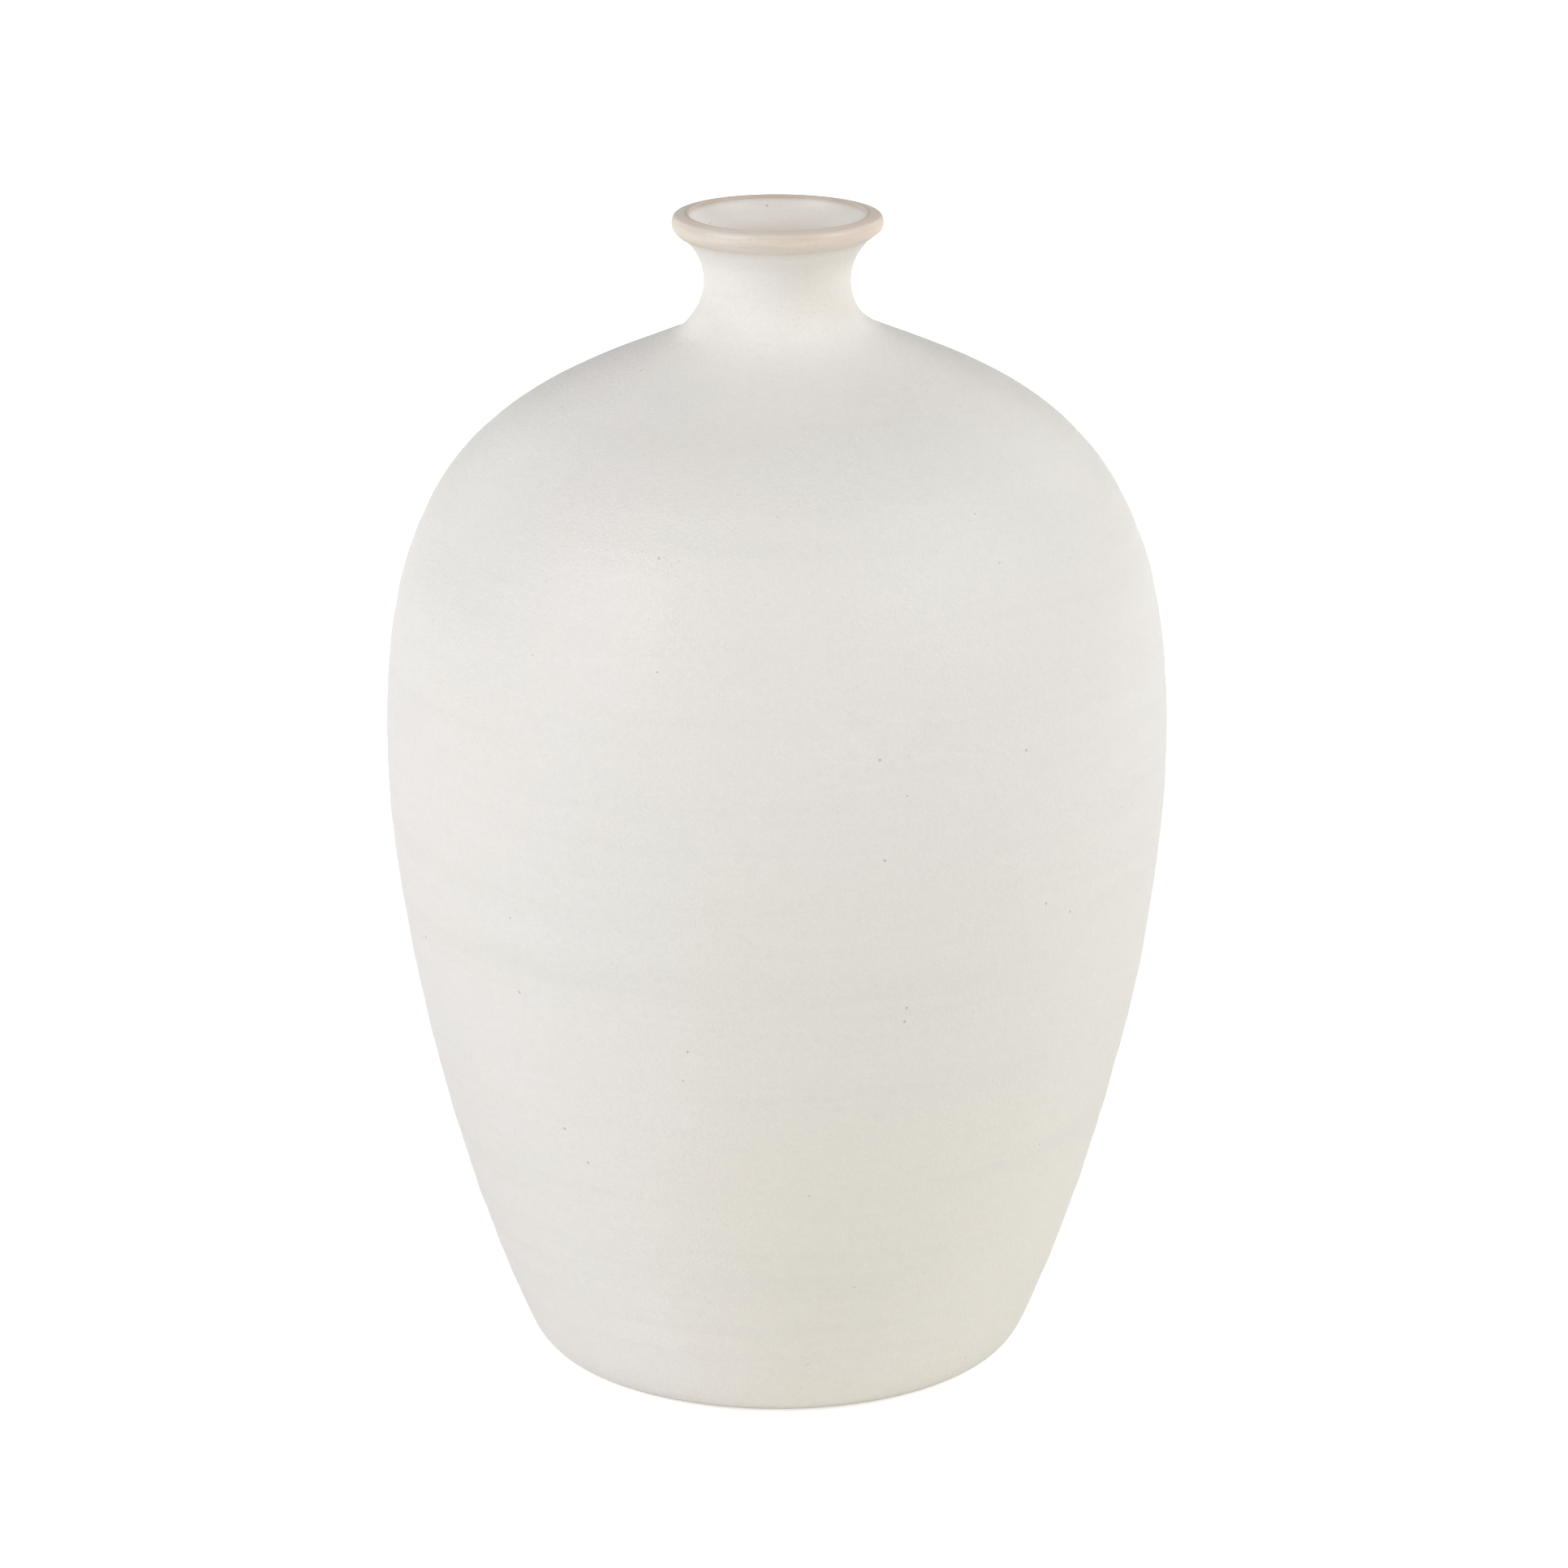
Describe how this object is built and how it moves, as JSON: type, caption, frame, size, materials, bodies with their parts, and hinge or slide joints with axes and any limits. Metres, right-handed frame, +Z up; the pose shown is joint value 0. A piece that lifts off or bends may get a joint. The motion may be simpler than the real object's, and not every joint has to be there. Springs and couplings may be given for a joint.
{
  "type": "bud vase",
  "caption": "Full-bellied bud vase in matt white glazed stoneware, closing to a narrow hollow-sided neck with a rolled tan lip and an open throat for stems.",
  "frame": {"origin": "centre of the foot, on the surface that the vase stands on", "axes": "+Z up along the vase's turning axis, towards the mouth; the vase is turned, so +X and +Y are any two level directions"},
  "size_m": [0.1674, 0.1674, 0.25],
  "materials": {
    "stoneware": "matte",
    "white_glaze": "matte",
    "tan_glaze": "satin",
    "liner_glaze": "satin"
  },
  "bodies": {
    "root": {"lower_section": "stoneware", "shoulder_section": "stoneware", "neck": "stoneware", "lip": "stoneware", "body_glaze": "white_glaze", "lip_glaze": "tan_glaze", "liner_glaze": "liner_glaze"}
  },
  "joints": []
}
